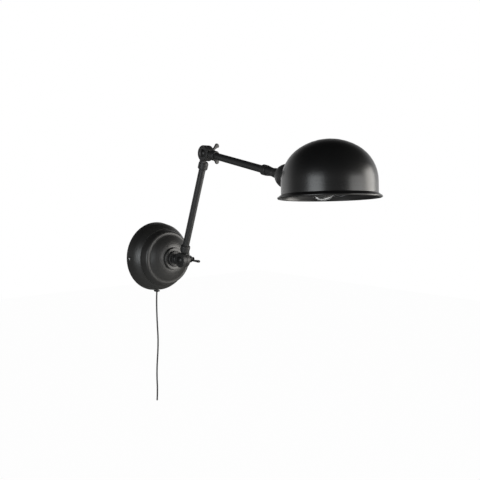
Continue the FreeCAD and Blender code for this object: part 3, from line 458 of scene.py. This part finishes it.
def finishPiece(name, bm, way, finish, body, replaced, sharp=32):
    bmesh.ops.transform(bm, matrix=Matrix.Scale(mm, 4) @ way, verts=bm.verts[:])
    mesh = bpy.data.meshes.new(name)
    bm.to_mesh(mesh)
    bm.free()
    mesh.shade_smooth()
    mesh.set_sharp_from_angle(angle=math.radians(sharp))
    mesh.materials.append(finishes[finish])
    piece = bpy.data.objects.new(name, mesh)
    scene.collection.objects.link(piece)
    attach(piece, body)
    if replaced:
        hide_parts(*replaced)
    return piece


def turnedPiece(name, corners, way, finish, body, replaced, steps=96):
    return finishPiece(name, newTurned(corners, steps), way, finish, body, replaced)


# The cord hangs from its outlet to a bare cut end, close to the wall.
cordSet = {
    "radius": 1.6,
    "exit": (-4.549, -8.0, -74.384),
    "points": [
        (-4.183, -8.0, -68.395),
        (-5.251, -8.0, -85.863),
        (-5.499, -8.4, -111.984),
        (-4.899, -9.0, -139.984),
        (-3.299, -9.4, -171.984),
        (-3.799, -9.0, -197.984),
        (-6.299, -8.6, -230.984),
        (-6.999, -9.0, -256.984),
        (-5.999, -9.3, -281.484),
        (-7.399, -9.4, -304.484),
    ],
}


def makeCord(c):
    curve = bpy.data.curves.new("hangingCord", "CURVE")
    curve.dimensions = "3D"
    curve.bevel_depth = c["radius"] * mm
    curve.bevel_resolution = 6
    curve.resolution_u = 16
    curve.use_fill_caps = True
    spline = curve.splines.new("NURBS")
    spline.points.add(len(c["points"]) - 1)
    for point, place in zip(spline.points, c["points"]):
        point.co = (place[0] * mm, place[1] * mm, place[2] * mm, 1.0)
    spline.order_u = 3
    spline.use_endpoint_u = True
    spline.use_smooth = True
    curve.materials.append(finishes["cord_cover"])
    piece = bpy.data.objects.new("hangingCord", curve)
    scene.collection.objects.link(piece)
    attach(piece, "base")
    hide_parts("cord")


makeCord(cordSet)
print("camera and cord placed")


# The profile runs from the wall up the outside to the boss, and back along the inside.
canopySet = {
    "profile": [
        (71.0, 0.0), (68.4, 17.0), (59.2, 31.5, 46.0), (58.3, 30.9), (57.5, 31.4),
        (54.5, 43.5, 60.0), (50.5, 47.2, 5.0), (48.4, 47.6), (45.0, 49.4, -9.0), (24.5, 61.0, 44.0),
        (8.0, 61.0), (8.0, 59.8), (24.5, 59.8), (44.4, 48.3, -43.0), (47.7, 46.3), (50.1, 46.0),
        (53.4, 43.0, -4.0), (56.3, 31.0, -60.0), (58.0, 29.3),
        (58.2, 30.4), (67.2, 16.6, -50.0), (69.8, 0.0),
    ],
    "boss": [(8.0, 61.0), (22.5, 61.0), (22.5, 67.0, 0, 1.8), (8.0, 67.0)],
}
turnedPiece(
    "canopyShell", canopySet["profile"], wallWay, "canopyPaint", "base", ["canopy"], 160)
turnedPiece(
    "bossDisc", canopySet["boss"], wallWay, "canopyPaint", "base", ["canopy_boss"])

screwSet = {
    "depth": 9.0, "seat": 70.235, "length": 9.0, "thread": 2.0, "head": 4.0, "crown": 72.551,
    "curve": 4.38, "recess": 1.55, "recessDepth": 1.5, "floorShare": 0.9, "tipRound": 0.3,
}


def sideScrew(name, turn, node, s):
    top = s["crown"]
    corners = [
        (0, s["seat"] - s["length"]), (s["thread"], s["seat"] - s["length"], 0, s["tipRound"]),
        (s["thread"], s["seat"]), (s["head"], s["seat"]), (s["recess"], top, s["curve"]),
        (s["recess"] * s["floorShare"], top - s["recessDepth"]), (0, top - s["recessDepth"]),
    ]
    way = moved(0, -s["depth"], 0) @ turnAbout("Y", turn)
    turnedPiece(name, corners, way, "screw_steel", "base", [node], 48)


sideScrew("sideScrewLeft", -90, "canopy_screw_left", screwSet)
sideScrew("sideScrewRight", 90, "canopy_screw_right", screwSet)

outletSet = {
    "depth": 8.0, "aside": 3.5,
    "profile": [
        (0, 62.72), (3.8, 62.72), (3.8, 70.72), (6.2, 70.72, 0, 0.3), (6.2, 73.12, 0, 0.7),
        (3.2, 73.12), (2.7, 74.52, 0, 0.4), (1.7, 74.52), (1.7, 68.52), (0, 68.52),
    ],
}
outletWay = moved(0, -outletSet["depth"], 0) @ turnAbout("Y", outletSet["aside"]) @ turnAbout("X", 180)
turnedPiece("cordOutlet", outletSet["profile"], outletWay, "black_plastic", "base", ["cord_gland"], 64)
print("canopy done")


# An eye is half of a knuckle; the stem and the arms' collars grow out of one each.
castingSet = {
    "voxel": 0.5, "softening": 5, "softShare": 0.5, "sharp": 60,
    "eyeRadius": 14.8, "eyeThickness": 8.5, "eyeRound": 1.5, "seamRound": 0.25,
    "webWidth": 11.6, "webStart": 8.9,
    "collar": [
        (0, 16.3), (7.4, 16.3, 0, 1.6), (9.4, 20.0, 0, 2.0), (9.4, 31.5, 0, 2.7), (6.55, 31.5),
        (6.55, 21.5), (0, 21.5),
    ],
    "stem": [
        (0, 15.9), (9.6, 15.9, 0, 1.2), (9.6, 23.0, 0, 0.8), (16.0, 23.0, 0, 1.2), (16.0, 27.0),
        (0, 27.0),
    ],
    "stemWebEnd": 17.1, "collarWebEnd": 20.5,
}


def castingShape(side, turnedCorners, webEnd, c):
    bm = newTurned(turnedCorners)
    high = c["eyeThickness"]
    eye = [
        (0, 0), (c["eyeRadius"], 0, 0, c["seamRound"]), (c["eyeRadius"], high, 0, c["eyeRound"]),
        (0, high),
    ]
    joinInto(bm, newTurned(eye), turnAbout("Y", 90 * side))
    joinInto(bm, newWeb(side, c["webStart"], webEnd, c["webWidth"], c["eyeThickness"]))
    return bm


def fusedCasting(name, side, turnedCorners, webEnd, way, body, node):
    # The eye, web and collar run into one another as in one rough casting, by a remesh that is
    # then smoothed.
    rough = bpy.data.meshes.new("roughCasting")
    bm = castingShape(side, turnedCorners, webEnd, castingSet)
    bm.to_mesh(rough)
    bm.free()
    carrier = bpy.data.objects.new("roughCasting", rough)
    scene.collection.objects.link(carrier)
    fused = carrier.modifiers.new("fused", "REMESH")
    fused.mode = "VOXEL"
    fused.voxel_size = castingSet["voxel"]
    softened = carrier.modifiers.new("softened", "SMOOTH")
    softened.factor = castingSet["softShare"]
    softened.iterations = castingSet["softening"]
    bpy.context.view_layer.update()
    graph = bpy.context.evaluated_depsgraph_get()
    shape = bpy.data.meshes.new_from_object(carrier.evaluated_get(graph))
    bm = bmesh.new()
    bm.from_mesh(shape)
    for item in (carrier, rough, shape):
        keep = bpy.data.objects if item == carrier else bpy.data.meshes
        keep.remove(item)
    finishPiece(name, bm, way, "black_paint", body, [node], castingSet["sharp"])


fusedCasting("stemCasting", -1, castingSet["stem"], castingSet["stemWebEnd"], stemWay, "base", "stem")
for label, side, way, body, nodeName in (
    ("footCasting", 1, lowerWay, "lower_arm", "lower_arm_foot"),
    ("topCasting", -1, headCastingWay, "lower_arm", "lower_arm_head"),
    ("rootCasting", 1, upperWay, "upper_arm", "upper_arm_root"),
):
    fusedCasting(label, side, castingSet["collar"], castingSet["collarWebEnd"], way, body, nodeName)

boltSet = {
    "head": 7.5, "headHeight": 3.6, "dome": 9.61, "seat": -8.5, "shank": 4.0, "tip": 27.0,
    "threadFrom": 20.0, "threadEnd": 25.7, "pitch": 1.25, "threadDepth": 0.5, "tipShare": 0.78,
}


def boltCorners(b):
    height = b["threadFrom"]
    corners = [
        (0, b["seat"] - b["headHeight"]), (b["head"], b["seat"], b["dome"]),
        (b["shank"], b["seat"]), (b["shank"], height),
    ]
    while height < b["threadEnd"]:
        corners.append((b["shank"] - b["threadDepth"], height + b["pitch"] / 2))
        corners.append((b["shank"], height + b["pitch"]))
        height += b["pitch"]
    return corners + [(b["shank"] * b["tipShare"], b["tip"]), (0, b["tip"])]


washerSet = {"profile": [(4.1, 8.5), (9.0, 8.5, 0, 0.35), (9.0, 10.9, 0, 0.45), (4.1, 10.9)]}
for label, way, body in (("lower", lowerBoltWay, "base"), ("elbow", elbowBoltWay, "lower_arm")):
    for part, corners in (("Bolt", boltCorners(boltSet)), ("Washer", washerSet["profile"])):
        replaced = [label + "_" + part.lower()]
        turnedPiece(label + "Pivot" + part, corners, way, "black_hardware", body, replaced, 64)

wingSet = {
    "hub": [(4.1, 10.9), (8.0, 10.9, 0, 0.5), (6.4, 20.09), (5.3, 21.4, 0, 0.5), (4.1, 21.4)],
    "ear": [(5.2, 12.2), (18.594, 23.706, -40.0), (11.806, 30.494, 4.896), (5.2, 19.3, -20.0)],
    "thickness": 3.2, "edge": 0.8, "sharp": 40, "lowerTurn": 104, "elbowTurn": 0,
}


def wingNut(name, way, turn, body, node, w):
    bm = newTurned(w["hub"], 72)
    for half in (0, 180):
        joinInto(bm, newPlate(w["ear"], w["thickness"], w["edge"]), turnAbout("Z", half))
    finishPiece(name, bm, way @ turnAbout("Z", turn), "black_hardware", body, [node], w["sharp"])


wingNut("lowerWingNut", lowerBoltWay, wingSet["lowerTurn"], "lower_nut", "lower_wing_nut", wingSet)
wingNut("elbowWingNut", elbowBoltWay, wingSet["elbowTurn"], "elbow_nut", "elbow_wing_nut", wingSet)
print("knuckles done")


armSet = {
    "lowerTube": [(5.3, 21.5), (6.5, 21.5), (6.5, 198.5), (5.3, 198.5)],
    "upperTube": [(5.3, 21.5), (6.5, 21.5), (6.5, 166.0), (5.3, 166.0)],
    "endCollar": [
        (6.55, 160.0), (9.05, 160.0, 0, 1.3), (9.05, 171.0, 0, 1.3), (5.0, 171.0), (5.0, 166.0),
        (6.55, 166.0),
    ],
}
for label, way, body, nodeName, steps in (
    ("lowerTube", lowerWay, "lower_arm", "lower_arm_tube", 64),
    ("upperTube", upperWay, "upper_arm", "upper_arm_tube", 64),
    ("endCollar", upperWay, "upper_arm", "arm_end_collar", 72),
):
    turnedPiece(label, armSet[label], way, "black_paint", body, [nodeName], steps)


# Heights in the head run along the upper arm from the elbow, those of the shade along its axis.
headSet = {
    "stub": [
        (3.2, 158.0), (4.9, 158.0), (4.9, 171.0), (7.2, 171.0), (7.2, 172.8), (8.5, 172.8, 0, 0.5),
        (7.3, 181.0, 0, 3.0), (7.3, 185.5, 0, 3.0), (8.2, 190.0, 0, 3.0), (8.2, 198.0), (5.0, 198.0),
        (5.0, 225.0), (3.2, 225.0),
    ],
    "cup": [
        (5.05, 198.0), (8.2, 198.0), (20.5, 219.5, 26.0), (20.5, 232.0), (20.5, 241.9),
        (19.3, 241.9), (19.3, 232.0), (19.3, 219.5), (8.2, 199.56, -24.8), (5.05, 199.56),
    ],
    "holder": [
        (0, 225.0), (12.5, 225.0, 0, 0.6), (18.6, 228.0, 0, 0.8), (18.6, 235.8), (17.4, 235.8),
        (17.4, 267.0, 0, 0.5), (13.7, 267.0, 0, 0.4), (13.7, 241.4), (0, 241.4),
    ],
    "ring": [(17.5, 242.45), (21.4, 242.45, 0, 0.5), (21.4, 247.45, 0, 0.7), (17.5, 247.45)],
}
shadeSet = {
    "profile": [
        (72.9, -9.0), (76.45, -14.1), (78.2, -15.85, 1.78), (79.95, -14.1, 1.78), (78.2, -12.35, 1.78),
        (74.0, -9.0), (74.0, 9.439), (45.818, 61.404, 62.0), (0, 75.0, 84.0), (0, 73.9),
        (45.218, 60.482, -82.9), (72.9, 9.439, -60.9),
    ],
}
turnedPiece("swivelStub", headSet["stub"], headWay, "black_paint", "head", ["swivel_stub"], 72)
shadePiece = turnedPiece(
    "domeShade", shadeSet["profile"], shadeWay, "shade_paint", "head", ["shade"], 192)
turnedPiece("lampHolder", headSet["holder"], headWay, "black_plastic", "head", ["lamp_holder"])
turnedPiece("shadeRing", headSet["ring"], headWay, "black_plastic", "head", ["shade_ring"])


# Metres along the cup's axis, and degrees from which an edge is sharp
mouthSet = {"from": 0.2415, "castBack": 0.03, "sharp": 40}


def socketCup(corners, way, m):
    # The mouth's edge is laid on the shade's skin.
    bm = newTurned(corners, 120)
    bmesh.ops.transform(bm, matrix=Matrix.Scale(mm, 4) @ way, verts=bm.verts[:])
    spots = [v.co for v in shadePiece.data.vertices]
    skin = BVHTree.FromPolygons(spots, [tuple(p.vertices) for p in shadePiece.data.polygons])
    back = (way @ Vector((0, 0, 0))) * mm
    axis = (way.to_3x3() @ Vector((0, 0, 1))).normalized()
    for vert in bm.verts:
        along = (vert.co - back).dot(axis)
        if along > m["from"]:
            start = vert.co - axis * m["castBack"]
            hit = skin.ray_cast(start, axis)[0]
            if hit:
                vert.co = hit
    bmesh.ops.transform(bm, matrix=(Matrix.Scale(mm, 4) @ way).inverted(), verts=bm.verts[:])
    finishPiece("socketCup", bm, way, "black_paint", "head", ["socket_cup"], m["sharp"])


socketCup(headSet["cup"], headWay, mouthSet)

bulbSet = {
    "glass": [
        (12.2, 267.0), (17.236, 282.437), (22.5, 296.9, 22.5), (0, 319.4, 22.5), (0, 318.5),
        (21.6, 296.9, -21.6), (16.546, 283.016, -33.0), (11.3, 267.0),
    ],
}
turnedPiece("bulbGlass", bulbSet["glass"], headWay, "bulb_glass", "head", ["bulb_glass"])
print("head done")

# CAD pieces that stay as they are get their finish.
slotOf = {row["node"]: row["material_slot"] for row in frame["record"]["subparts"]}
for name, piece in nodes.items():
    for holder in piece.material_slots:
        holder.material = finishes[slotOf[name]]


# Metres; seenWhite is how far the camera sees the floor as plain white.
floorSet = {"height": -0.75, "size": 8.0, "colour": (0.62, 0.62, 0.61, 1.0), "seenWhite": 0.985}


def makeFloor(f):
    bm = bmesh.new()
    bmesh.ops.create_grid(bm, x_segments=1, y_segments=1, size=f["size"] / 2)
    bmesh.ops.translate(bm, verts=bm.verts[:], vec=(0, 0, f["height"]))
    mesh = bpy.data.meshes.new("floor")
    bm.to_mesh(mesh)
    bm.free()
    material, shop = newMaterial("paleFloor")
    seen = shop.node("LightPath", None, None, output=0)
    matt = shop.node("BsdfDiffuse", None, {"Color": f["colour"]})
    lit = shop.node("Emission", None, {"Color": (1, 1, 1, 1), "Strength": 1.0})
    finishMaterial(shop, shop.node("MixShader", None, {0: seen * f["seenWhite"], 1: matt, 2: lit}))
    mesh.materials.append(material)
    floor = bpy.data.objects.new("floor", mesh)
    scene.collection.objects.link(floor)


# Light levels of the world, and the directions between which each part of it sets in.
skySet = {
    "dark": 0.01, "sides": 0.18, "behind": 0.75, "belowShare": 0.12,
    "sidesFrom": -0.7, "sidesTo": 0.1, "behindFrom": 0.1, "behindTo": 0.7,
    "belowFrom": 0.1, "belowTo": 0.8,
}


def makeWorld(k):
    # White to the camera and through glass. It lights the lamp from behind, and less from the
    # sides and below.
    world = bpy.data.worlds.new("studio")
    scene.world = world
    world.use_nodes = True
    shop = Shop(world.node_tree)
    way = shop.node("TexCoord", None, None, output=0)
    ahead = Vector((-viewBack.x, -viewBack.y, 0)).normalized()
    towards = shop.along(way, tuple(ahead))
    fall = shop.along(way, (0.0, 0.0, 1.0)) * -1.0
    notHigh = shop.smoothStep(fall, k["sidesFrom"], k["sidesTo"])
    behind = shop.smoothStep(towards, k["behindFrom"], k["behindTo"]) * notHigh
    below = shop.smoothStep(fall, k["belowFrom"], k["belowTo"]) * k["belowShare"]
    level = k["dark"] + notHigh * k["sides"] + behind.atLeast(below) * k["behind"]
    seen = shop.node("LightPath", None, None, output=0)
    through = shop.node("LightPath", None, None, output=6)
    strength = seen.atLeast(through) * (1.0 - level) + level
    inputs = {"Color": (1, 1, 1, 1), "Strength": strength}
    light = shop.node("Background", None, inputs)
    out = shop.tree.nodes.new("ShaderNodeOutputWorld")
    shop.tree.links.new(light.socket, out.inputs["Surface"])


# Degrees from the camera's side to the right and up, metres, watts
softboxSet = {
    "aim": (0, -0.25, 0.1),
    "boxes": [
        {
            "name": "rightStrip", "azimuth": 92, "elevation": -4, "distance": 1.3, "width": 0.75,
            "height": 1.2, "power": 11.5, "colour": (1.0, 0.97, 0.92),
        },
        {
            "name": "leftBox", "azimuth": -32, "elevation": 0, "distance": 1.6, "width": 0.9,
            "height": 1.0, "power": 8.2, "colour": (0.94, 0.98, 1.0),
        },
        {
            "name": "frontFill", "azimuth": 56, "elevation": -2, "distance": 1.6, "width": 1.0,
            "height": 0.9, "power": 7.2, "colour": (1.0, 0.99, 0.97),
        },
    ],
}


def softbox(aim, box):
    # A soft lamp that faces its aim, placed by the camera's view of it.
    data = bpy.data.lights.new(box["name"], "AREA")
    data.shape = "RECTANGLE"
    data.size = box["width"]
    data.size_y = box["height"]
    data.energy = box["power"]
    data.color = box["colour"]
    lampObject = bpy.data.objects.new(box["name"], data)
    scene.collection.objects.link(lampObject)
    flatBack = Vector((viewBack.x, viewBack.y, 0)).normalized()
    side = Vector((viewRight.x, viewRight.y, 0)).normalized()
    a = math.radians(box["azimuth"])
    e = math.radians(box["elevation"])
    way = (flatBack * math.cos(a) + side * math.sin(a)) * math.cos(e) + Vector((0, 0, math.sin(e)))
    spot = Vector(aim) + way * box["distance"]
    turn = way.to_track_quat("Z", "Y").to_matrix().to_4x4()
    lampObject.matrix_world = Matrix.Translation(spot) @ turn


makeFloor(floorSet)
makeWorld(skySet)
for box in softboxSet["boxes"]:
    softbox(softboxSet["aim"], box)
print("stage set")

scene.view_settings.view_transform = "Standard"
